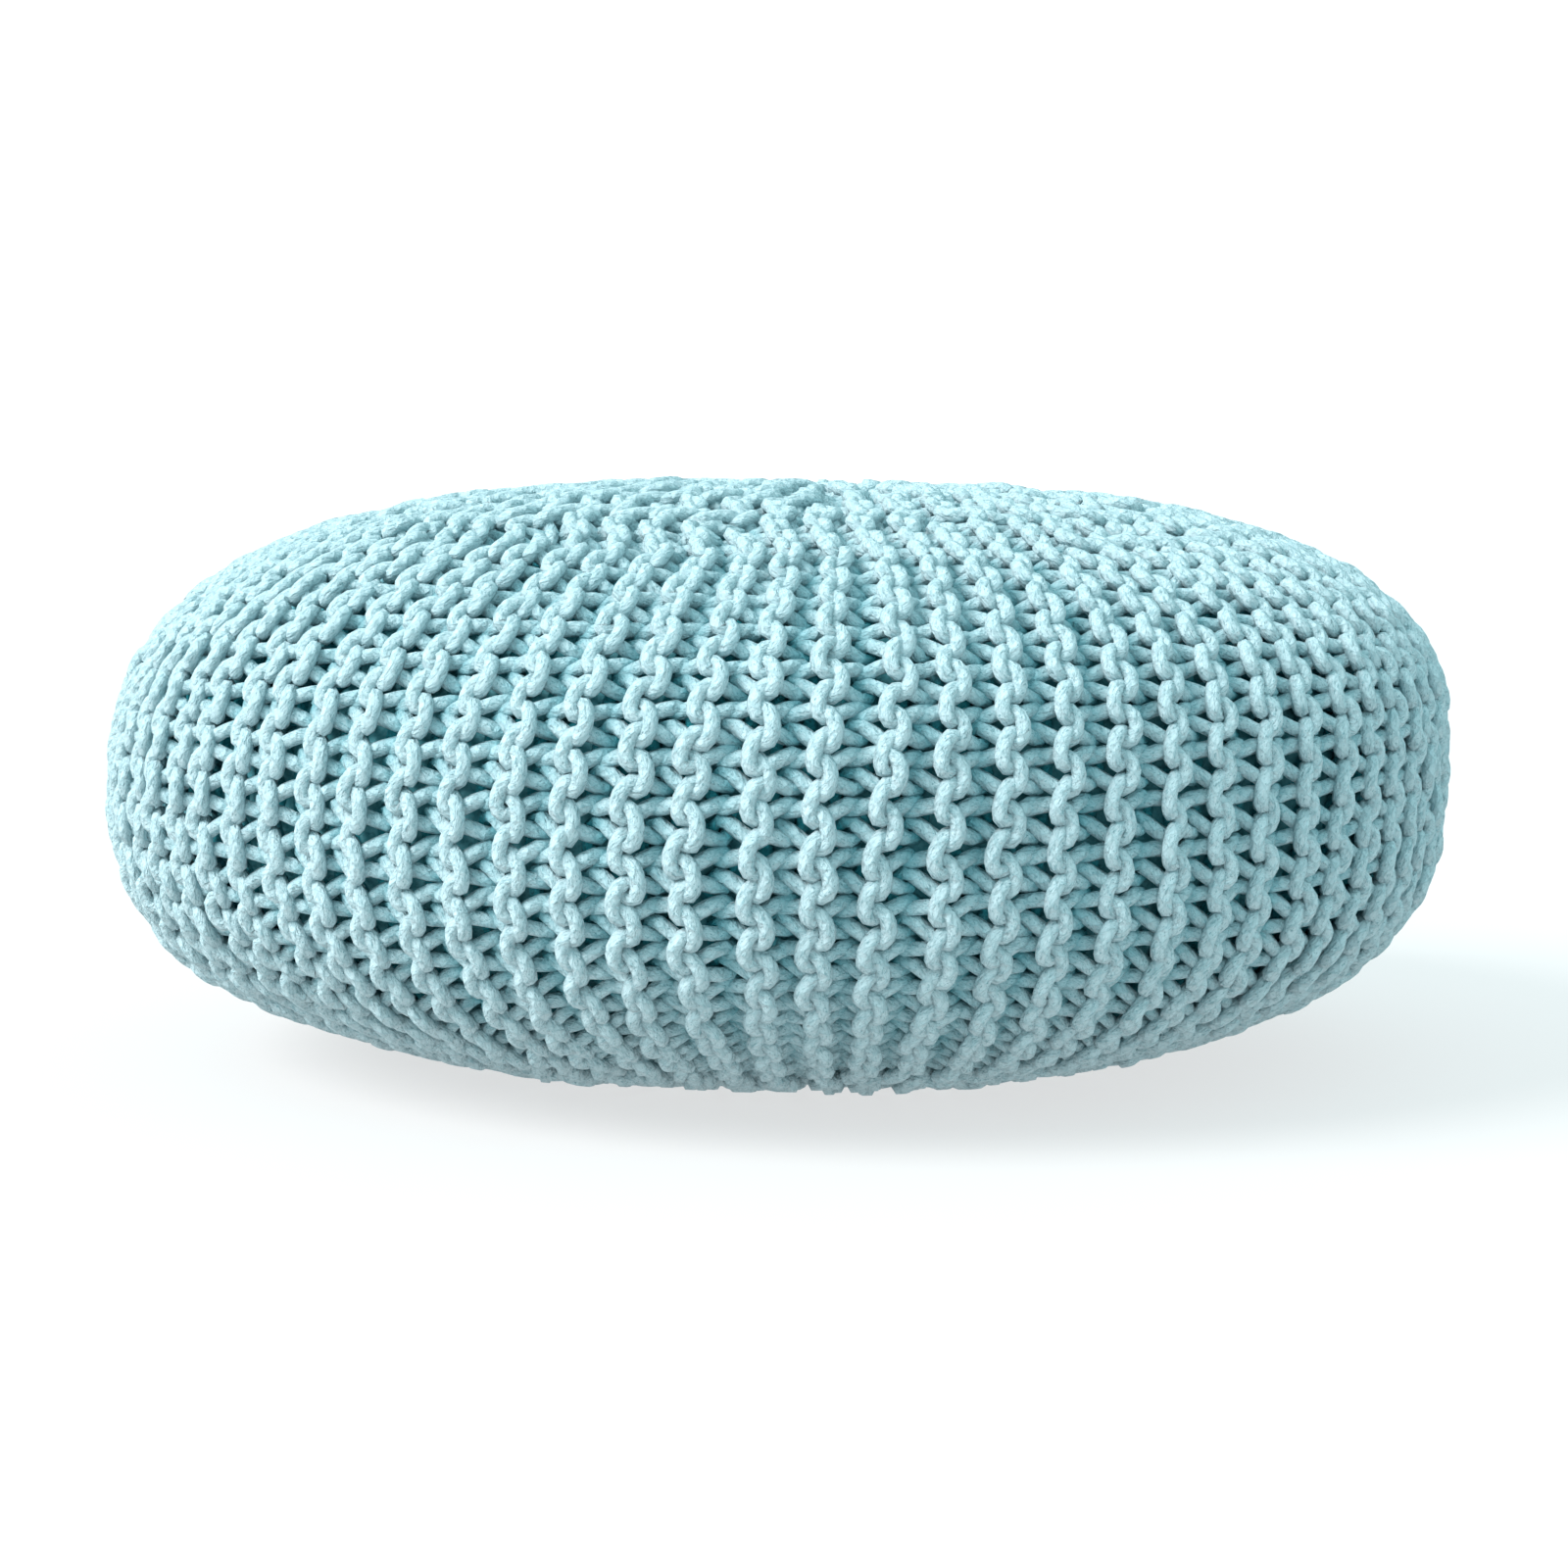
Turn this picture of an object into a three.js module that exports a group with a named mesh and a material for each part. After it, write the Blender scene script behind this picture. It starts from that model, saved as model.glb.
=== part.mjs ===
// A round knitted pouf, 550 mm across and 240 mm high, in millimetres with +Z up.
//
// It is one knitted cover, drawn together in a gather at the middle of the top and of the underside,
// and stuffed tight. Yarn and filling are one soft body, so the pouf is one closed solid, as large as
// the outside of the yarn. The origin is on the surface that it rests on, under the middle of its box.

import * as THREE from 'three';
import { mergeVertices } from 'three/addons/utils/BufferGeometryUtils.js';

// Driving dimensions, in millimetres.
const DIAMETER = 550;
const HEIGHT = 240;
const ROUNDNESS = 2.7; // 2 gives an ellipse for the side view, and more gives squarer shoulders
const UPPER_HEIGHT = 119.5; // from the widest ring to the crown
const SAG = 4; // how far the round underside would reach below the surface if it stayed round

// The gather in the crown: where the ridges meet, to one side of the middle.
const GATHER_X = 24;
const GATHER_RADIUS = 34;
const GATHER_DEPTH = 6;

// How finely the body is faceted. Under 1, the crowding brings the rings closer near the widest one.
const AROUND = 96;
const RINGS_ABOVE = 14;
const RINGS_BELOW = 9;
const CROWDING = 0.8;

const RADIUS = DIAMETER / 2;
const WIDEST_Z = HEIGHT - UPPER_HEIGHT;
const LOWER_HEIGHT = WIDEST_Z + SAG;

// How high above or below the widest ring a superellipse with this half height is, at a given radius.
function rise(radius, halfHeight) {
  const share = Math.min(1, radius / RADIUS) ** ROUNDNESS;
  return halfHeight * (1 - share) ** (1 / ROUNDNESS);
}

// The radius of the same superellipse at a given distance above or below the widest ring.
function reach(distance, halfHeight) {
  const share = Math.min(1, distance / halfHeight) ** ROUNDNESS;
  return RADIUS * (1 - share) ** (1 / ROUNDNESS);
}

// How much lower the crown is at a point, because of the gather: a smooth round hollow.
function hollow(x, y) {
  const away = Math.hypot(x - GATHER_X, y) / GATHER_RADIUS;
  return away < 1 ? GATHER_DEPTH * Math.cos((away * Math.PI) / 2) ** 2 : 0;
}

// The height of a point of a ring. Above the widest ring the gather is taken off.
function heightAt(x, y, ring) {
  if (!ring.above) return ring.z;
  return WIDEST_Z + rise(Math.hypot(x, y), UPPER_HEIGHT) - hollow(x, y);
}

// The rings from the edge of the flat underside to just short of the gather. Above, each ring also
// moves towards the gather as it gets smaller, so that the last one closes round it.
function bodyRings() {
  const rings = [];
  for (let i = 0; i < RINGS_BELOW; i += 1) {
    const angle = (Math.PI / 2) * (1 - i / RINGS_BELOW);
    const z = Math.max(0, WIDEST_Z - LOWER_HEIGHT * Math.sin(angle) ** CROWDING);
    rings.push({ radius: reach(WIDEST_Z - z, LOWER_HEIGHT), z, above: false });
  }
  for (let i = 0; i < RINGS_ABOVE; i += 1) {
    const angle = (Math.PI / 2) * (i / RINGS_ABOVE);
    rings.push({ radius: RADIUS * Math.cos(angle) ** CROWDING, above: true });
  }
  return rings.filter((ring, i) => i === 0 || ring.above || ring.z > 0);
}

// One point of a ring.
function ringPoint(ring, step) {
  const angle = (2 * Math.PI * step) / AROUND;
  const shift = ring.above ? GATHER_X * (1 - ring.radius / RADIUS) : 0;
  const x = ring.radius * Math.cos(angle) + shift;
  const y = ring.radius * Math.sin(angle);
  return [x, y, heightAt(x, y, ring)];
}

// A closed body: a flat fan underneath, bands between the rings, and a fan over the gather.
function poufGeometry() {
  const rings = bodyRings();
  const points = rings.flatMap((ring) =>
    Array.from({ length: AROUND }, (_, step) => ringPoint(ring, step)),
  );
  const under = points.push([0, 0, 0]) - 1;
  const over = points.push([GATHER_X, 0, heightAt(GATHER_X, 0, { above: true })]) - 1;
  const last = (rings.length - 1) * AROUND;
  const faces = [];
  for (let step = 0; step < AROUND; step += 1) {
    const next = (step + 1) % AROUND;
    faces.push(under, next, step);
    for (let low = 0; low < last; low += AROUND) {
      const high = low + AROUND;
      faces.push(low + step, low + next, high + next);
      faces.push(low + step, high + next, high + step);
    }
    faces.push(last + step, last + next, over);
  }
  const geometry = new THREE.BufferGeometry();
  geometry.setAttribute('position', new THREE.Float32BufferAttribute(points.flat(), 3));
  geometry.setIndex(faces);
  return mergeVertices(geometry);
}

const cottonCord = new THREE.MeshStandardMaterial({
  name: 'cotton_cord',
  color: 0xa9d3d8,
  roughness: 0.95,
  metalness: 0,
});

const pouf = new THREE.Mesh(poufGeometry(), cottonCord);
pouf.name = 'pouf';

const root = new THREE.Group();
root.add(pouf);

export default root;
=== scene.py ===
"""The looks of a round floor pouf with a chunky garter-stitch cover.

The pouf is a tight, stuffed body inside a cover knitted sideways from thick soft cotton cord. The
cover's ridges run from a gather in the crown, over the side, to a gather in the underside. Every
stitch is built: each row of knitting is one cord that swings to and fro along a meridian of the body.

Lengths are in metres, with +Z up and the front towards -Y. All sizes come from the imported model's box
and from the few driving sizes that the classes hold.
"""

import logging
import math
from dataclasses import dataclass
from enum import Enum

import bpy
import numpy as np
from mathutils import Matrix, Vector


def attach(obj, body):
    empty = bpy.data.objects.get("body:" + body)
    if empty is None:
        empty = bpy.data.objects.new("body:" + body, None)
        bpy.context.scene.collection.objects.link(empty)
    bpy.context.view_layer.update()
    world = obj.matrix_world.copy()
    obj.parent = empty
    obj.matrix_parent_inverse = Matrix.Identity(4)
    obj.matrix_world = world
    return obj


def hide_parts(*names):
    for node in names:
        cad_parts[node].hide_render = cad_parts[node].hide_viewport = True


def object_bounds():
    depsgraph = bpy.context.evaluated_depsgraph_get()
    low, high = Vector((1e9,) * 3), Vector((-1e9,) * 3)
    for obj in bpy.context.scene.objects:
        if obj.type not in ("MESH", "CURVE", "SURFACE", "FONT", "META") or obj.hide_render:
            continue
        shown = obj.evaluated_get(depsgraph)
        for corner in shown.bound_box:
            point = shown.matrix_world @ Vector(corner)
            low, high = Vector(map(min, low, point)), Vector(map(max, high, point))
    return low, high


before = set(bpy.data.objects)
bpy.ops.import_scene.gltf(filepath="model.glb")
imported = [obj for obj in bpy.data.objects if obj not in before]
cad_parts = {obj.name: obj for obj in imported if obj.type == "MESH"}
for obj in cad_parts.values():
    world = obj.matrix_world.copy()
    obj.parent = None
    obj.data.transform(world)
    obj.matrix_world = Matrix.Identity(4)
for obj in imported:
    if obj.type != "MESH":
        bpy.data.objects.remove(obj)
cad_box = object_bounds()

Array = np.ndarray
LOG = logging.getLogger("pouf")
CAD_NODE = "pouf"
SEED = 20
YARN_PROUD = 0.0042  # how far the form stands past the box at its widest ring
TOP_SAG = 0.0012  # how far the form's crown stays under the box's top
MM = 0.001
TINY = 1e-9
QUARTER = math.pi / 2
FULL_TURN = 2 * math.pi
WHITE = (1.0, 1.0, 1.0, 1.0)


# ---------------------------------------------------------------- meshes


def new_mesh_object(
    name: str, points: Array, faces: Array, uv: Array | None = None, caps: Array | None = None
) -> bpy.types.Object:
    """Makes a smooth-shaded mesh object at the origin from whole arrays.

    Args:
        name: the object's and the mesh's name.
        points: the vertices, one row of x, y, z each.
        faces: the four-sided faces, one row of four vertex numbers each.
        uv: for each face's four corners, the two pattern coordinates, or None.
        caps: end faces with more sides, one row of vertex numbers each, or None.

    Returns:
        The new object, linked to the scene.
    """
    mesh = bpy.data.meshes.new(name)
    ends = np.zeros((0, 3), int) if caps is None else caps
    corners = np.concatenate([faces.ravel(), ends.ravel()])
    sides = np.concatenate([np.full(len(faces), faces.shape[1]), np.full(len(ends), ends.shape[1])])
    mesh.vertices.add(len(points))
    mesh.vertices.foreach_set("co", points.astype(np.float32).ravel())
    mesh.loops.add(len(corners))
    mesh.loops.foreach_set("vertex_index", corners.astype(np.int32))
    mesh.polygons.add(len(sides))
    mesh.polygons.foreach_set("loop_start", (np.cumsum(sides) - sides).astype(np.int32))
    mesh.polygons.foreach_set("use_smooth", np.ones(len(sides), bool))
    if uv is not None:
        layer = mesh.uv_layers.new(name="cord")
        whole = np.zeros((len(corners), 2), np.float32)
        whole[: faces.size] = uv.reshape(-1, 2)
        layer.data.foreach_set("uv", whole.ravel())
    mesh.update(calc_edges=True)
    mesh.validate()
    made = bpy.data.objects.new(name, mesh)
    bpy.context.collection.objects.link(made)
    return made


def points_of(mesh: bpy.types.Mesh) -> Array:
    """The places of a mesh's vertices, one row each."""
    flat = np.empty(3 * len(mesh.vertices), np.float32)
    mesh.vertices.foreach_get("co", flat)
    return flat.reshape(-1, 3).astype(float)


def apply_modifiers(made: bpy.types.Object) -> None:
    """Puts a mesh object's modifiers into its mesh and removes them.

    Args:
        made: the object.
    """
    graph = bpy.context.evaluated_depsgraph_get()
    mesh = bpy.data.meshes.new_from_object(made.evaluated_get(graph), depsgraph=graph)
    made.modifiers.clear()
    made.data = mesh
    mesh.polygons.foreach_set("use_smooth", np.ones(len(mesh.polygons), bool))


def unit(vectors: Array) -> Array:
    """Each row scaled to a length of one."""
    return vectors / np.maximum(np.linalg.norm(vectors, axis=-1, keepdims=True), TINY)


def smooth_step(share: Array) -> Array:
    """A smooth rise from 0 to 1 as share goes from 0 to 1: three times its square less twice its cube."""
    held = np.clip(share, 0.0, 1.0)
    return held * held * (3.0 - 2.0 * held)


# ---------------------------------------------------------------- the stuffed form


@dataclass(frozen=True)
class StuffedForm:
    """The outside of the pouf, as a smooth body that the yarn lies in.

    Seen from the side it is a superellipse: the radius share and the height share, each raised to the
    roundness, add up to one. It is flattened where it rests, and its upper half leans a little to
    the right. A place on it is an azimuth round the pouf and a share along the meridian, from -1 at
    the lower gather through 0 at the widest ring to 1 at the upper gather, in equal steps of cloth.
    """

    radius: float
    widest_z: float
    upper: float
    sag: float = 0.004
    roundness: float = 2.70
    gather_x: float = 0.024
    lean: float = 0.010
    settle: float = 0.0015
    steps: int = 4000

    @classmethod
    def from_box(cls, low: Vector, high: Vector) -> "StuffedForm":
        """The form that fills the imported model's box.

        Args:
            low: the box's lowest corner.
            high: the box's highest corner.

        Returns:
            The form, its widest ring halfway up.
        """
        height = high.z - low.z
        radius = (high.x - low.x) / 2 + YARN_PROUD
        return cls(radius=radius, widest_z=height / 2, upper=height / 2 - TOP_SAG)

    @property
    def lower(self) -> float:
        """How far below the widest ring the underside would reach if it stayed round."""
        return self.widest_z + self.sag

    def profile(self, half_height: float) -> tuple[Array, Array]:
        """Ring size against cloth length for the upper or the lower half.

        The ring's share of the full radius is the cosine, and the height share the sine, of an angle,
        each raised to two over the roundness.

        Args:
            half_height: the half's height.

        Returns:
            Shares of the cloth length from the widest ring, and the ring's radius share at each.
        """
        angle = np.linspace(0.0, QUARTER, self.steps)
        ring = np.abs(np.cos(angle)) ** (2 / self.roundness)
        ring[-1] = 0.0
        rise = np.abs(np.sin(angle)) ** (2 / self.roundness)
        piece = np.hypot(np.diff(ring) * self.radius, np.diff(rise) * half_height)
        run = np.concatenate([[0.0], np.cumsum(piece)])
        return run / run[-1], ring

    def cloth_length(self) -> float:
        """The length of cloth from the lower gather to the upper one."""
        angle = np.linspace(0.0, QUARTER, self.steps)
        ring = np.abs(np.cos(angle)) ** (2 / self.roundness) * self.radius
        total = 0.0
        for half_height in (self.upper, self.lower):
            rise = np.abs(np.sin(angle)) ** (2 / self.roundness) * half_height
            total += float(np.hypot(np.diff(ring), np.diff(rise)).sum())
        return total

    def ring_share(self, along: Array) -> Array:
        """The ring's radius share at each place along the meridian."""
        above, below = self.profile(self.upper), self.profile(self.lower)
        far = np.abs(along)
        return np.where(along >= 0, np.interp(far, *above), np.interp(far, *below))

    def along_at(self, share: Array, half_height: float) -> Array:
        """How far along the cloth, from 0 to 1, a ring of this radius share lies in one half."""
        run, ring = self.profile(half_height)
        return np.interp(share, ring[::-1], run[::-1])

    def surface(self, azimuth: Array, along: Array) -> tuple[Array, Array]:
        """Points on the outside and the directions that face out of it.

        In plan each meridian is a straight line from the gather to the widest ring. The direction is
        the superellipse's gradient, turned downwards where the underside is pressed flat.

        Args:
            azimuth: angle round the pouf from +X, in radians.
            along: share along the meridian, from -1 to 1.

        Returns:
            The points and the unit directions, one row each.
        """
        ring = self.ring_share(along)
        x = self.gather_x * (1 - ring) + self.radius * ring * np.cos(azimuth)
        y = self.radius * ring * np.sin(azimuth)
        half = np.where(along >= 0, self.upper, self.lower)
        share = np.minimum(np.hypot(x, y) / self.radius, 1.0)
        n = self.roundness
        rise = (1 - share**n) ** (1 / n)
        z = self.widest_z + np.sign(along) * half * rise
        leaning = self.lean * share * rise * (along > 0)
        across = share ** (n - 1) / self.radius / np.maximum(np.hypot(x, y), TINY)
        up = np.sign(along) * rise ** (n - 1) / half
        pressed = np.sqrt(z * z + self.settle**2)
        held = (z / pressed + 1) / 2
        out = unit(np.stack([across * x * held, across * y * held, up], axis=-1))
        return np.stack([x + leaning, y, (z + pressed) / 2], axis=-1), out


# ---------------------------------------------------------------- the knitting


class Row(Enum):
    """The two kinds of row, by which side of the cloth the heads of the loops stand on."""

    HEADS_OUT = 0
    HEADS_IN = 1


@dataclass(frozen=True)
class LoopShape:
    """The way of the cord through one stitch, as points given in millimetres.

    Each point is its place up the ridge, to the right of the ridge's middle and out of the cloth. The
    next stitch starts one stitch length further up with the same points.
    """

    points: tuple[tuple[float, float, float], ...]
    length: float = 17.5

    def at(self, turn: Array) -> Array:
        """The cord's offset from an even advance up the ridge.

        It is a cubic B-spline: each place is a mean of the four nearest points, weighted by the cubes
        that keep the bend smooth, so the cord turns softly near each point.

        Args:
            turn: how many stitches up the ridge the cord has come.

        Returns:
            The offsets up, across and outwards in metres, one row each.
        """
        count = len(self.points)
        swing = np.array(self.points)
        swing[:, 0] -= self.length * np.arange(count) / count
        spot = (turn % 1.0) * count
        base = np.floor(spot).astype(int)
        f = (spot - base)[:, None]
        before, here, after, beyond = (swing[(base + k) % count] for k in (-1, 0, 1, 2))
        near = (3 * f - 6) * f**2 * here + ((3 - 3 * f) * f + 3) * f * after
        return ((1 - f) ** 3 * before + 4 * here + after + near + f**3 * beyond) / 6 * MM


# From the hidden cord at the loop's foot, out along the lower leg, up the head that shows, and back.
HEADS_OUT_LOOP = LoopShape((
    (-5.8, -17.6, -6.4),
    (2.0, -15.2, -3.4),
    (2.0, -11.4, -0.8),
    (-1.2, -7.0, 0.9),
    (-4.4, -2.8, 1.8),
    (-6.4, 0.6, 3.4),
    (-5.4, 2.5, 4.9),
    (-2.6, 3.7, 5.7),
    (0.9, 3.8, 5.9),
    (4.1, 2.8, 5.6),
    (6.8, 0.8, 4.4),
    (8.0, -2.6, 2.0),
    (7.2, -7.0, 0.9),
    (5.2, -11.4, -0.8),
    (4.4, -15.2, -3.4),
))

# From the cord that shows between two loops, in along the lower leg, up the hidden head, and back.
HEADS_IN_LOOP = LoopShape((
    (-9.2, -3.7, 5.8),
    (-5.6, -2.9, 5.8),
    (-2.6, -1.0, 5.0),
    (-1.3, 1.4, 2.8),
    (-2.2, 5.4, 1.6),
    (-4.0, 9.8, -0.2),
    (-5.6, 14.2, -2.6),
    (2.0, 18.6, -6.6),
    (9.6, 14.2, -2.4),
    (8.0, 9.8, 0.0),
    (6.0, 5.4, 1.6),
    (3.6, 1.8, 2.6),
    (2.3, -0.7, 4.2),
    (2.9, -2.5, 5.2),
    (5.2, -3.6, 5.7),
))

LOOPS = {Row.HEADS_OUT: HEADS_OUT_LOOP, Row.HEADS_IN: HEADS_IN_LOOP}


@dataclass(frozen=True)
class RidgePlan:
    """Which ridges reach how near the gathers, and where each lies.

    Towards a gather there is less room, so ridges end one after another, in an order that spreads
    them evenly, and those that are left share the room.
    """

    ridges: int
    thin_from: float = 0.72
    gather_share: float = 0.05
    fade: float = 0.06
    left_crowding: float = 0.05
    steps: int = 240

    def ends(self, stride: int) -> Array:
        """The ring share at which each ridge ends.

        Args:
            stride: how far apart ridges that end one after another lie; it shares no factor with
                the number of ridges.

        Returns:
            The ring share for each ridge, 0 for one that reaches the gather.
        """
        rank = (np.arange(self.ridges) * stride % self.ridges + 0.5) / self.ridges
        end = self.thin_from * (1 - rank)
        return np.where(end > self.gather_share, end, 0.0)

    def widths(self, stride: int) -> Array:
        """How wide each ridge is, from 0 to 1, at evenly spaced ring shares from 0 to 1."""
        share = np.linspace(0.0, 1.0, self.steps)[None, :]
        end = self.ends(stride)[:, None]
        here = np.where(end > 0, smooth_step((share - end) / self.fade + 0.5), 1.0)
        facing = FULL_TURN * np.arange(self.ridges)[:, None] / self.ridges
        return here * (1 + self.left_crowding * np.cos(facing))


@dataclass(frozen=True)
class KnitCover:
    """The knitted cover: its gauge, its cord and the pieces that it is built in.

    Each row ends a little before its ridge does, by the run-on, and dips by the tuck. Near the
    gather every row dips by the dimple. The jitter moves single stitches, the wander sways whole
    ridges, and the fullness swells the cloth in broad, low waves round the pouf.
    """

    form: StuffedForm
    ridges: int = 80
    stitches: int = 38
    cord: float = 0.0058
    swing_out: float = 0.0060
    samples: int = 17
    sides: int = 6
    pieces: int = 8
    upper_stride: int = 49
    lower_stride: int = 31
    run_on: float = 0.15
    tuck: float = 0.003
    dimple: float = 0.004
    dimple_share: float = 0.10
    gather_hole: float = 0.005
    jitter: float = 0.0007
    wander: float = 0.0020
    wander_waves: tuple[float, float] = (5.0, 11.0)
    fullness: float = 0.0020
    fullness_waves: tuple[tuple[float, float], ...] = ((3, 4), (7, -6))
    fullness_start: float = 1.0
    turned: float = 0.23
    knots_a_stitch: int = 2
    spare_knots: int = 4
    far_end: float = 0.999

    @property
    def pitch(self) -> float:
        """The width of a ridge at the widest ring."""
        return FULL_TURN * self.form.radius / self.ridges

    @property
    def stitch(self) -> float:
        """The length of a stitch along the ridge."""
        return self.form.cloth_length() / self.stitches

    @property
    def depth(self) -> float:
        """How far the middle of the cloth lies under the outside."""
        return self.swing_out + self.cord / 2

    def row_range(self, plan: RidgePlan) -> tuple[Array, Array]:
        """Where each ridge starts and ends, in stitches counted up from the lower gather."""
        form = self.form
        tail = self.run_on * plan.fade
        lower = np.maximum(plan.ends(self.lower_stride) - tail, self.gather_hole)
        upper = np.maximum(plan.ends(self.upper_stride) - tail, self.gather_hole)
        half = self.stitches / 2
        first = half * (1 - form.along_at(lower, form.lower))
        last = half * (1 + form.along_at(upper, form.upper))
        return first, last

    def samples_along(self, plan: RidgePlan) -> tuple[Array, Array, Array]:
        """Where the centreline of every row is worked out.

        Args:
            plan: the ridges' plan.

        Returns:
            For each sample its row, its turn (one per stitch) and whether the row goes on after it.
        """
        first, last = self.row_range(plan)
        row = np.arange(2 * self.ridges)
        count = ((last - first)[row // 2] * self.samples).astype(int) + 1
        which = np.repeat(row, count)
        index = np.arange(count.sum()) - np.repeat(np.cumsum(count) - count, count)
        turn = first[which // 2] + index / self.samples
        return which, turn, index < count[which] - 1

    def unevenness(self, which: Array, turn: Array, rng: np.random.Generator) -> Array:
        """Small differences from stitch to stitch, smooth along the cord.

        Args:
            which: the row of each sample.
            turn: the turn of each sample.
            rng: the seeded source of the differences.

        Returns:
            For each sample the offsets along, across and outwards.
        """
        knots = self.knots_a_stitch * self.stitches
        table = rng.normal(0.0, self.jitter, (2 * self.ridges, knots + self.spare_knots, 3))
        spot = np.clip(self.knots_a_stitch * turn, 0, knots + self.spare_knots / 2)
        base = np.floor(spot).astype(int)
        mix = ((1 - np.cos(math.pi * (spot - base))) / 2)[:, None]
        return table[which, base] * (1 - mix) + table[which, base + 1] * mix

    def azimuths(self, plan: RidgePlan, ridge: Array, along: Array, across: Array) -> Array:
        """The azimuth of places given by their ridge, share along it and distance across it.

        The ridges that are present at a ring share it out by their widths, one after another.

        Args:
            plan: the ridges' plan.
            ridge: the ridge of each place.
            along: the share along the meridian.
            across: the distance from the ridge's middle as a share of the full pitch.

        Returns:
            The azimuths in radians.
        """
        share = self.form.ring_share(along) * (plan.steps - 1)
        base = np.minimum(share.astype(int), plan.steps - 2)
        mix = share - base
        found = np.zeros(len(ridge))
        for stride, inside in ((self.upper_stride, along >= 0), (self.lower_stride, along < 0)):
            width = plan.widths(stride)
            whole = width.sum(axis=0)
            middle = (np.cumsum(width, axis=0) - width / 2) / whole
            at = middle[ridge, base] * (1 - mix) + middle[ridge, base + 1] * mix
            room = 1 / (whole[base] * (1 - mix) + whole[base + 1] * mix)
            own = width[ridge, base] * (1 - mix) + width[ridge, base + 1] * mix
            here = FULL_TURN * (at + across * room * own)
            found = np.where(inside, here, found)
        return found + FULL_TURN * (self.turned - 0.5) / self.ridges

    def centreline(self, rng: np.random.Generator) -> tuple[Array, Array, Array, Array, Array]:
        """The centrelines of all the rows.

        Args:
            rng: the seeded source of the unevenness.

        Returns:
            For each sample its row, whether the row goes on after it, its point, the direction that
            faces out of the cloth there, and how far out in the cloth it lies, from 0 to 1.
        """
        plan = RidgePlan(self.ridges)
        which, turn, goes_on = self.samples_along(plan)
        ridge, kind = which // 2, which % 2
        way = np.zeros((len(turn), 3))
        for row, loop in LOOPS.items():
            mine = kind == row.value
            way[mine] = loop.at(turn[mine])
        way += self.unevenness(which, turn, rng)
        advance, across, outwards = self.stitch * turn + way[:, 0], way[:, 1], way[:, 2]
        first, last = self.row_range(plan)
        to_end = np.minimum(turn - first[ridge], last[ridge] - turn)
        along = 2 * advance / (self.stitch * self.stitches) - 1
        along = np.clip(along, -self.far_end, self.far_end)
        phase = rng.uniform(0, FULL_TURN, (self.ridges, 2))[ridge]
        waves = np.sin(np.array(self.wander_waves) * along[:, None] + phase)
        across = across + self.wander * waves.mean(axis=1)
        azimuth = self.azimuths(plan, ridge, along, across / self.pitch)
        point, out = self.form.surface(azimuth, along)
        ring = self.form.ring_share(along)
        dip = self.dimple * smooth_step(1 - ring / self.dimple_share)
        dip = dip + self.tuck * smooth_step(1 - to_end)
        (slow_round, slow_up), (quick_round, quick_up) = self.fullness_waves
        slow = np.sin(slow_round * azimuth + slow_up * along)
        quick = np.sin(quick_round * azimuth + quick_up * along + self.fullness_start)
        full = self.fullness * (slow + quick) / 2
        level = outwards - self.depth - dip + full * ring
        outness = (outwards + self.swing_out) / (2 * self.swing_out)
        return which, goes_on, point + out * level[:, None], out, outness

    def build(self, rng: np.random.Generator) -> list[bpy.types.Object]:
        """Sweeps a round section along every row and joins the rows into a few pieces.

        Args:
            rng: the seeded source of the unevenness.

        Returns:
            The pieces, each a run of neighbouring ridges.
        """
        which, goes_on, point, out, outness = self.centreline(rng)
        new_row = np.concatenate([[True], ~goes_on[:-1]])
        step = np.diff(point, axis=0, prepend=point[:1])
        step[new_row] = 0.0
        after = np.roll(step, -1, axis=0)
        after[~goes_on] = 0.0
        heading = unit(step + after)
        run = np.cumsum(np.linalg.norm(step, axis=1))
        LOG.info("cord in the cover: %.0f m", run[-1])
        side = unit(np.cross(heading, out))
        top = np.cross(side, heading)
        turn = FULL_TURN * np.arange(self.sides) / self.sides
        sideways = side[:, None, :] * np.cos(turn)[None, :, None]
        upwards = top[:, None, :] * np.sin(turn)[None, :, None]
        points = point[:, None, :] + (sideways + upwards) * (self.cord / 2)
        piece_of = which // 2 * self.pieces // self.ridges
        made = []
        for piece in range(self.pieces):
            mine = piece_of == piece
            name = f"knit_part_{piece + 1}"
            made.append(self.piece_mesh(name, points[mine], goes_on[mine], run[mine], outness[mine]))
        return made

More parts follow.
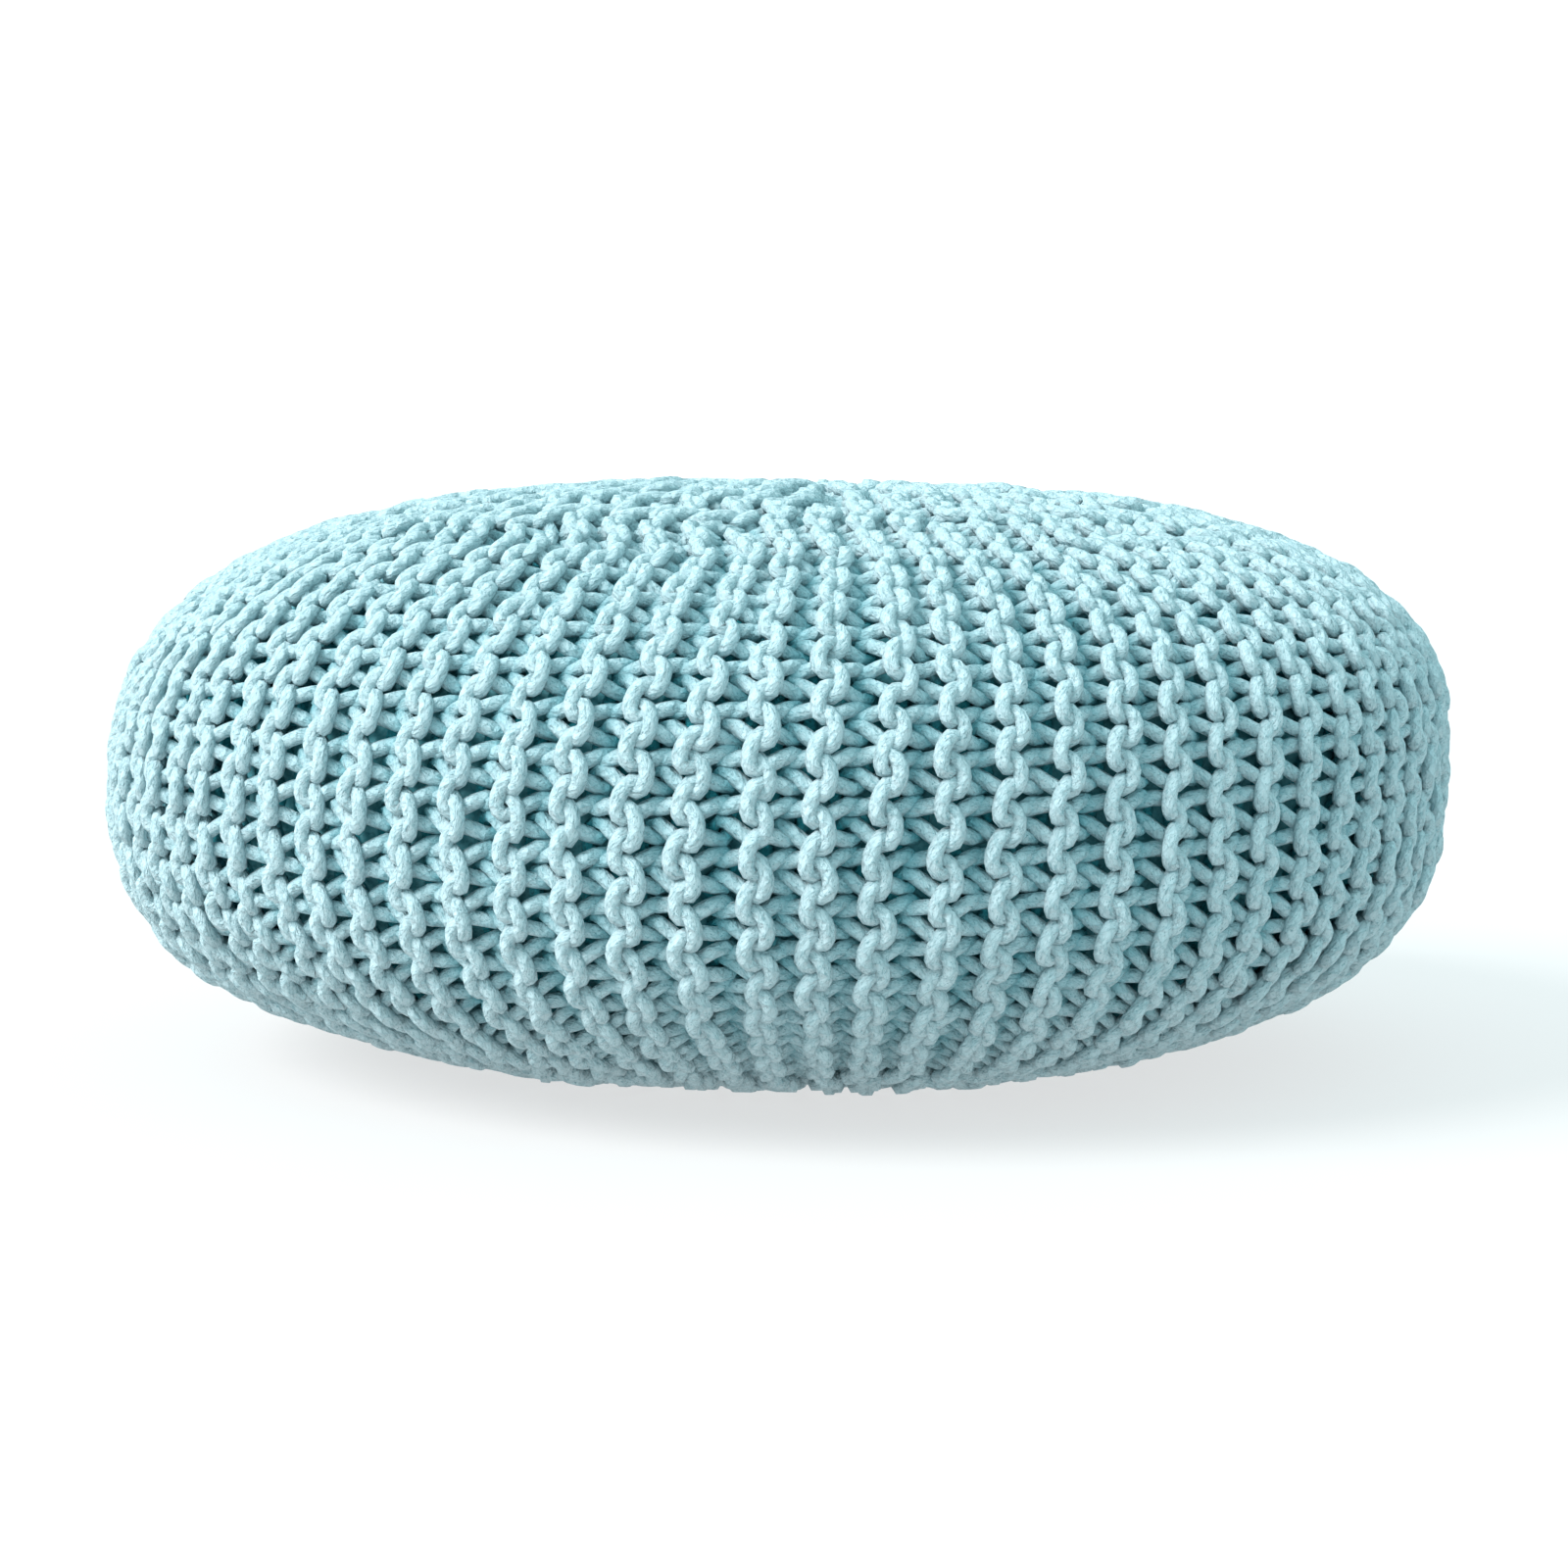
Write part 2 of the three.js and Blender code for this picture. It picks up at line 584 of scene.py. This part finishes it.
    def piece_mesh(
        self, name: str, points: Array, goes_on: Array, run: Array, outness: Array
    ) -> bpy.types.Object:
        """One piece of the cover from its rows' rings.

        Args:
            name: the piece's name.
            points: each sample's ring of points.
            goes_on: whether the row goes on after each sample.
            run: the length of cord up to each sample.
            outness: how far out in the cloth each sample lies.

        Returns:
            The piece, with the cord's length and turn as its pattern coordinates.
        """
        sides = self.sides
        start = np.flatnonzero(goes_on)
        a = np.arange(sides)
        b = (a + 1) % sides
        low = start[:, None] * sides
        quads = np.stack([low + a, low + b, low + sides + b, low + sides + a], axis=-1).reshape(-1, 4)
        length = np.stack([run[start], run[start], run[start + 1], run[start + 1]], axis=-1)
        length = np.repeat(length[:, None, :], sides, axis=1)
        turn = np.stack([a, a + 1, a + 1, a], axis=-1) / sides
        turn = np.broadcast_to(turn[None], length.shape)
        uv = np.stack([length, turn], axis=-1).reshape(-1, 4, 2)
        last = np.flatnonzero(~goes_on)
        first = np.concatenate([[0], last[:-1] + 1])
        caps = np.concatenate([first[:, None] * sides + a[::-1], last[:, None] * sides + a])
        made = new_mesh_object(name, points.reshape(-1, 3), quads, uv, caps)
        # The outness attribute drives the cord's painted shade deep in the cloth.
        depth = made.data.attributes.new("outness", "FLOAT", "POINT")
        depth.data.foreach_set("value", np.repeat(outness, sides).astype(np.float32))
        return made


# ---------------------------------------------------------------- the stuffed body


@dataclass(frozen=True)
class StuffedBody:
    """The stuffed inside that shows between the stitches, coloured dark as painted shade."""

    form: StuffedForm
    depth: float = 0.0112
    around: int = 96
    rings: int = 40
    end: float = 0.985
    voxel: float = 0.010
    swell: float = 0.001
    pressure: float = 4.0
    frames: int = 20

    def grid(self) -> bpy.types.Object:
        """A closed grid under the cover: the outside, moved inwards along its own directions.

        Returns:
            The body before it is swelled.
        """
        azimuth, along = np.meshgrid(
            FULL_TURN * np.arange(self.around) / self.around,
            np.linspace(-self.end, self.end, self.rings),
            indexing="ij",
        )
        point, out = self.form.surface(azimuth.ravel(), along.ravel())
        points = point - out * (self.depth + self.swell)
        i, j = np.meshgrid(np.arange(self.around), np.arange(self.rings - 1), indexing="ij")
        i, j = i.ravel(), j.ravel()
        k = (i + 1) % self.around
        n = self.rings
        faces = np.stack([i * n + j, k * n + j, k * n + j + 1, i * n + j + 1], axis=-1)
        spokes = np.arange(self.around) * n
        caps = np.stack([spokes[::-1], spokes + n - 1])
        return new_mesh_object("stuffing", points, faces, None, caps)

    def build(self) -> bpy.types.Object:
        """The grid, rebuilt in even faces, swelled by cloth pressure and smoothed.

        Returns:
            The finished body.
        """
        body = self.grid()
        remesh = body.modifiers.new("even_faces", "REMESH")
        remesh.mode = "VOXEL"
        remesh.voxel_size = self.voxel
        apply_modifiers(body)
        self.inflate(body)
        smooth = body.modifiers.new("smooth", "SUBSURF")
        smooth.levels = smooth.render_levels = 1
        return body

    def inflate(self, body: bpy.types.Object) -> None:
        """Swells the body by cloth pressure, each point by no more than the swell.

        Args:
            body: the body, whose mesh is changed.
        """
        start = points_of(body.data)
        cloth = body.modifiers.new("cloth", "CLOTH")
        cloth.settings.use_pressure = True
        cloth.settings.uniform_pressure_force = self.pressure
        cloth.settings.effector_weights.gravity = 0.0
        scene = bpy.context.scene
        for number in range(1, self.frames + 1):
            scene.frame_set(number)
        ready = body.evaluated_get(bpy.context.evaluated_depsgraph_get())
        moved = points_of(ready.data) - start
        body.modifiers.remove(cloth)
        scene.frame_set(1)
        far = np.linalg.norm(moved, axis=1, keepdims=True)
        held = start + moved * np.minimum(1.0, self.swell / np.maximum(far, TINY))
        body.data.vertices.foreach_set("co", held.astype(np.float32).ravel())
        body.data.update()
        LOG.info("stuffing: swelled by %.1f mm", 1000 * float(np.minimum(far, self.swell).mean()))


# ---------------------------------------------------------------- finishes


@dataclass(frozen=True)
class ShadeMark:
    """Painted shade in a cord's recesses: the values that it fades in between, and how strong it gets."""

    low: float
    high: float
    strength: float


class NodeTree:
    """Short calls that add shader nodes and link them."""

    def __init__(self, owner: bpy.types.Material | bpy.types.World) -> None:
        """Takes the owner's node tree.

        Args:
            owner: the material or the world to add nodes to.
        """
        self.tree = owner.node_tree

    def add(self, kind: str, links: dict[str | int, object], **settings: object) -> bpy.types.Node:
        """Adds a node.

        Args:
            kind: the node's type.
            links: what goes into each input: another node's output, or a value.
            settings: the node's own settings.

        Returns:
            The node.
        """
        node = self.tree.nodes.new(kind)
        for name, value in settings.items():
            setattr(node, name, value)
        for key, value in links.items():
            if isinstance(value, bpy.types.NodeSocket):
                self.tree.links.new(value, node.inputs[key])
            else:
                node.inputs[key].default_value = value
        return node

    def link(self, start: bpy.types.NodeSocket, end: bpy.types.NodeSocket) -> None:
        """Links two sockets."""
        self.tree.links.new(start, end)

    def math(self, operation: str, *values: object) -> bpy.types.NodeSocket:
        """The result of one calculation on numbers."""
        return self.add("ShaderNodeMath", dict(enumerate(values)), operation=operation).outputs[0]

    def mix(self, share: object, first: object, second: object) -> bpy.types.NodeSocket:
        """A colour between two others."""
        node = self.add("ShaderNodeMixRGB", {"Fac": share, "Color1": first, "Color2": second})
        return node.outputs["Color"]

    def ramp(self, value: bpy.types.NodeSocket, low: float, high: float) -> bpy.types.NodeSocket:
        """A smooth rise from 0 to 1 while a value goes from low to high."""
        ends = {"Value": value, "From Min": low, "From Max": high}
        return self.add("ShaderNodeMapRange", ends, interpolation_type="SMOOTHSTEP").outputs["Result"]

    def marks(self, value: bpy.types.NodeSocket, mark: ShadeMark) -> bpy.types.NodeSocket:
        """How much a painted shade mark shows: its strength times a smooth rise from its low value to its
        high one.
        """
        return self.math("MULTIPLY", self.ramp(value, mark.low, mark.high), mark.strength)

    def noise(
        self, place: bpy.types.NodeSocket, scale: float, detail: float, roughness: float
    ) -> bpy.types.NodeSocket:
        """An even noise from 0 to 1, with this many lumps to the metre."""
        inputs = {"Vector": place, "Scale": scale, "Detail": detail, "Roughness": roughness}
        return self.add("ShaderNodeTexNoise", inputs).outputs["Fac"]


@dataclass(frozen=True)
class CordFinish:
    """Matt, soft cotton cord, with its strands and loose fibres.

    The cord's pattern is a cylinder's: its length, and the cosine and sine of its turn times its
    radius. It is a soft braid: strands wind round it both ways and leave a lozenge bump wherever
    they cross. Loose fibres lie over the braid, a little slantwise. Its colour holds painted shade:
    it is mixed towards the deep colour where the cord lies deep in the cloth, and towards a dark
    recess colour, in slantwise flecks, in the braid's grooves, the gaps between fibres and plies
    and the hollows between lumps.
    """

    name: str = "cotton_cord"
    pale: tuple[float, float, float] = (0.485, 0.63, 0.668)
    # the deep colour is painted shade: the colour given to cord that lies deep in the cloth, where shade
    # falls between the stitches
    deep: tuple[float, float, float] = (0.025, 0.30, 0.36)
    # the dark recess colour is painted shade in the braid's grooves, the gaps between fibres and plies
    # and the hollows between lumps
    recess_shade: tuple[float, float, float] = (0.03, 0.18, 0.22)
    roughness: float = 0.92
    sheen: float = 0.05
    sheen_roughness: float = 0.6
    specular: float = 0.05
    cord: float = 0.0058
    strands: int = 3
    pitch: float = 0.0052
    lay: float = 0.060
    groove: float = 0.0007
    # the painted shade fades out while the outness goes from the first to the second of these
    shade_fade_from: float = 0.10
    shade_fade_to: float = 0.76
    fibre_scale: float = 1350.0
    fibre_along: float = 0.75
    ply_scale: float = 640.0
    ply_along: float = 0.45
    fluff_scale: float = 420.0
    # each of these marks is painted shade where the bump height is low
    fibre_gap_shade: ShadeMark = ShadeMark(0.56, 0.68, 0.60)
    ply_gap_shade: ShadeMark = ShadeMark(0.52, 0.72, 0.50)
    groove_shade: ShadeMark = ShadeMark(0.30, 0.0, 0.25)
    hollow_shade: ShadeMark = ShadeMark(0.55, 0.34, 0.12)
    strand_rise: float = 0.9
    ply_dip: float = 2.2
    fibre_dip: float = 0.8
    fluff_rise: float = 2.0

    def build(self) -> bpy.types.Material:
        """The material, from the cord's own length and turn.

        Returns:
            The new material.
        """
        material = bpy.data.materials.new(self.name)
        material.use_nodes = True
        nodes = NodeTree(material)
        shader = material.node_tree.nodes["Principled BSDF"]
        shader.inputs["Roughness"].default_value = self.roughness
        shader.inputs["Sheen Weight"].default_value = self.sheen
        shader.inputs["Sheen Roughness"].default_value = self.sheen_roughness
        shader.inputs["Specular IOR Level"].default_value = self.specular
        pattern = nodes.add("ShaderNodeUVMap", {}, uv_map="cord").outputs["UV"]
        split = nodes.add("ShaderNodeSeparateXYZ", {"Vector": pattern})
        length, turn = split.outputs["X"], split.outputs["Y"]
        twisted = nodes.math("ADD", turn, nodes.math("DIVIDE", length, self.lay))
        strand = self.strand_height(nodes, turn, length)
        fibres = self.fibres(nodes, twisted, length, self.fibre_along, self.fibre_scale)
        plies = self.fibres(nodes, twisted, length, self.ply_along, self.ply_scale)
        fluff = self.fluff(nodes)
        # Painted shade: the less far out in the cloth the cord lies, by its outness, the more it takes
        # the deep colour.
        outness = nodes.add("ShaderNodeAttribute", {}, attribute_name="outness").outputs["Fac"]
        shown = nodes.ramp(outness, self.shade_fade_from, self.shade_fade_to)
        colour = nodes.mix(shown, (*self.deep, 1.0), (*self.pale, 1.0))
        # Painted shade: dark flecks where the bump height is low, in the grooves, the fibre and ply gaps
        # and the hollows.
        fine = nodes.math(
            "MAXIMUM", nodes.marks(fibres, self.fibre_gap_shade), nodes.marks(plies, self.ply_gap_shade)
        )
        broad = nodes.math(
            "MAXIMUM", nodes.marks(strand, self.groove_shade), nodes.marks(fluff, self.hollow_shade)
        )
        colour = nodes.mix(nodes.math("MAXIMUM", fine, broad), colour, (*self.recess_shade, 1.0))
        nodes.link(colour, shader.inputs["Base Color"])
        strands = nodes.math("MULTIPLY", strand, self.strand_rise)
        height = nodes.math("SUBTRACT", strands, nodes.math("MULTIPLY", plies, self.ply_dip))
        height = nodes.math("SUBTRACT", height, nodes.math("MULTIPLY", fibres, self.fibre_dip))
        height = nodes.math("ADD", height, nodes.math("MULTIPLY", fluff, self.fluff_rise))
        bump = nodes.add("ShaderNodeBump", {"Height": height, "Distance": self.groove, "Strength": 1.0})
        nodes.link(bump.outputs["Normal"], shader.inputs["Normal"])
        return material

    def on_cylinder(
        self, nodes: NodeTree, twisted: bpy.types.NodeSocket, length: bpy.types.NodeSocket, along: float
    ) -> bpy.types.NodeSocket:
        """A point on the twisted cylinder, with its length squeezed.

        Args:
            nodes: the material's nodes.
            twisted: the turn about the cord, lay included.
            length: the length along the cord.
            along: how much the length is scaled.

        Returns:
            The point.
        """
        angle = nodes.math("MULTIPLY", twisted, FULL_TURN)
        x = nodes.math("MULTIPLY", nodes.math("COSINE", angle), self.cord / 2)
        y = nodes.math("MULTIPLY", nodes.math("SINE", angle), self.cord / 2)
        z = nodes.math("MULTIPLY", length, along)
        return nodes.add("ShaderNodeCombineXYZ", {"X": x, "Y": y, "Z": z}).outputs[0]

    def strand_height(
        self, nodes: NodeTree, turn: bpy.types.NodeSocket, length: bpy.types.NodeSocket
    ) -> bpy.types.NodeSocket:
        """The braid's bumps: the product of two sines, one for each way of winding, without its sign.

        Args:
            nodes: the material's nodes.
            turn: the turn about the cord.
            length: the length along the cord.

        Returns:
            A height from 0 in the grooves to 1 on the bumps.
        """
        round_it = nodes.math("MULTIPLY", turn, math.pi * self.strands)
        along = nodes.math("MULTIPLY", length, math.pi / self.pitch)
        one_way = nodes.math("SINE", nodes.math("ADD", round_it, along))
        other_way = nodes.math("SINE", nodes.math("SUBTRACT", round_it, along))
        return nodes.math("ABSOLUTE", nodes.math("MULTIPLY", one_way, other_way))

    def fibres(
        self,
        nodes: NodeTree,
        twisted: bpy.types.NodeSocket,
        length: bpy.types.NodeSocket,
        along: float,
        scale: float,
    ) -> bpy.types.NodeSocket:
        """Dashes that run with the cord.

        Args:
            nodes: the material's nodes.
            twisted: the turn about the cord, lay included.
            length: the length along the cord.
            along: how much the length is scaled; one over it is how much longer than wide a dash is.
            scale: how many dashes lie side by side in a metre.

        Returns:
            A noise, high where a gap between fibres shows.
        """
        place = self.on_cylinder(nodes, twisted, length, along)
        return nodes.noise(place, scale, detail=3.0, roughness=0.60)

    def fluff(self, nodes: NodeTree) -> bpy.types.NodeSocket:
        """Soft uneven lumps in the yarn, a few millimetres across."""
        place = nodes.add("ShaderNodeTexCoord", {}).outputs["Object"]
        return nodes.noise(place, self.fluff_scale, detail=4.0, roughness=0.65)


@dataclass(frozen=True)
class ShadeFinish:
    """Fuzzy cotton deep between the stitches, in dark colours that are painted shade."""

    name: str = "inner_cotton_painted_shade"
    # both colours are darkened as painted shade for the gaps between the stitches
    dark: tuple[float, float, float] = (0.06, 0.25, 0.29)
    light: tuple[float, float, float] = (0.12, 0.35, 0.40)
    height: float = 0.0012
    roughness: float = 0.95
    specular: float = 0.05
    lump_scale: float = 260.0
    dark_to: float = 0.35
    light_from: float = 0.65

    def build(self) -> bpy.types.Material:
        """The material: a mix of two shades in small lumps, in the piece's own place.

        Returns:
            The new material.
        """
        material = bpy.data.materials.new(self.name)
        material.use_nodes = True
        nodes = NodeTree(material)
        shader = material.node_tree.nodes["Principled BSDF"]
        shader.inputs["Roughness"].default_value = self.roughness
        shader.inputs["Specular IOR Level"].default_value = self.specular
        place = nodes.add("ShaderNodeTexCoord", {}).outputs["Object"]
        lumps = nodes.noise(place, self.lump_scale, detail=5.0, roughness=0.7)
        share = nodes.ramp(lumps, self.dark_to, self.light_from)
        colour = nodes.mix(share, (*self.dark, 1.0), (*self.light, 1.0))
        nodes.link(colour, shader.inputs["Base Color"])
        bump = nodes.add("ShaderNodeBump", {"Height": lumps, "Distance": self.height})
        nodes.link(bump.outputs["Normal"], shader.inputs["Normal"])
        return material


@dataclass(frozen=True)
class PlainFinish:
    """A plain matt finish."""

    name: str
    colour: tuple[float, float, float]
    roughness: float = 0.9
    specular: float = 0.1

    def build(self) -> bpy.types.Material:
        """The material."""
        material = bpy.data.materials.new(self.name)
        material.use_nodes = True
        shader = material.node_tree.nodes["Principled BSDF"]
        shader.inputs["Base Color"].default_value = (*self.colour, 1.0)
        shader.inputs["Roughness"].default_value = self.roughness
        shader.inputs["Specular IOR Level"].default_value = self.specular
        return material


# ---------------------------------------------------------------- the studio


@dataclass(frozen=True)
class Studio:
    """The floor, the light and the camera."""

    form: StuffedForm
    camera_away: float = 1.375
    camera_above: float = 0.1175
    aim: tuple[float, float, float] = (0.0030, 0.0, -0.0100)
    lens: float = 75.0
    roll: float = 0.4
    floor: float = 40.0
    floor_colour: tuple[float, float, float] = (0.22, 0.22, 0.22)
    floor_glow: float = 0.66
    key_power: float = 4.5
    key_softness: float = 34.0
    key_colour: tuple[float, float, float] = (1.0, 0.93, 0.915)
    key_heading: tuple[float, float, float] = (0.95, 0.48, -0.80)
    around: float = 1.2
    shade: tuple[float, float, float] = (0.66, 1.0, 1.04)

    def build(self) -> None:
        """Makes the floor, the lights, the surroundings and the camera."""
        s = self.floor / 2
        corners = np.array([[-s, -s, 0], [s, -s, 0], [s, s, 0], [-s, s, 0]])
        floor = new_mesh_object("floor", corners, np.array([[0, 1, 2, 3]]))
        pale = PlainFinish("pale_floor", self.floor_colour).build()
        shader = pale.node_tree.nodes["Principled BSDF"]
        shader.inputs["Emission Color"].default_value = WHITE
        shader.inputs["Emission Strength"].default_value = self.floor_glow
        floor.data.materials.append(pale)
        data = bpy.data.lights.new("key", "SUN")
        data.energy = self.key_power
        data.angle = math.radians(self.key_softness)
        data.color = self.key_colour
        made = bpy.data.objects.new("key", data)
        made.rotation_euler = Vector(self.key_heading).to_track_quat("-Z", "Y").to_euler()
        bpy.context.collection.objects.link(made)
        self.surround()
        data = bpy.data.cameras.new("camera")
        data.lens = self.lens
        camera = bpy.data.objects.new("camera", data)
        bpy.context.collection.objects.link(camera)
        middle = Vector((0, 0, self.form.widest_z))
        camera.location = middle + Vector((0, -self.camera_away, self.camera_above))
        towards = middle + Vector(self.aim) - camera.location
        turn = towards.to_track_quat("-Z", "Y").to_matrix()
        camera.rotation_euler = (turn @ Matrix.Rotation(math.radians(self.roll), 3, "Z")).to_euler()
        bpy.context.scene.camera = camera
        bpy.context.scene.view_settings.view_transform = "Standard"

    def surround(self) -> None:
        """An even room that the camera sees as white, and whose light on the pouf is a little tinted."""
        world = bpy.data.worlds.new("studio")
        bpy.context.scene.world = world
        world.use_nodes = True
        nodes = NodeTree(world)
        seen = nodes.add("ShaderNodeLightPath", {}).outputs["Is Camera Ray"]
        back = world.node_tree.nodes["Background"]
        nodes.link(nodes.mix(seen, (*self.shade, 1.0), WHITE), back.inputs["Color"])
        back.inputs["Strength"].default_value = self.around


# ---------------------------------------------------------------- building


def main() -> None:
    """Builds every piece in order and reports it."""
    logging.basicConfig(level=logging.INFO, format="%(message)s")
    rng = np.random.default_rng(SEED)
    form = StuffedForm.from_box(*cad_box)
    cord = CordFinish().build()
    body = StuffedBody(form).build()
    body.data.materials.append(ShadeFinish().build())
    parts = KnitCover(form).build(rng)
    for part in parts:
        part.data.materials.append(cord)
    for piece in [body, *parts]:
        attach(piece, "root")
        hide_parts(CAD_NODE)
        LOG.info("%s: %d faces", piece.name, len(piece.data.polygons))
    Studio(form).build()


if __name__ == "__main__":
    main()
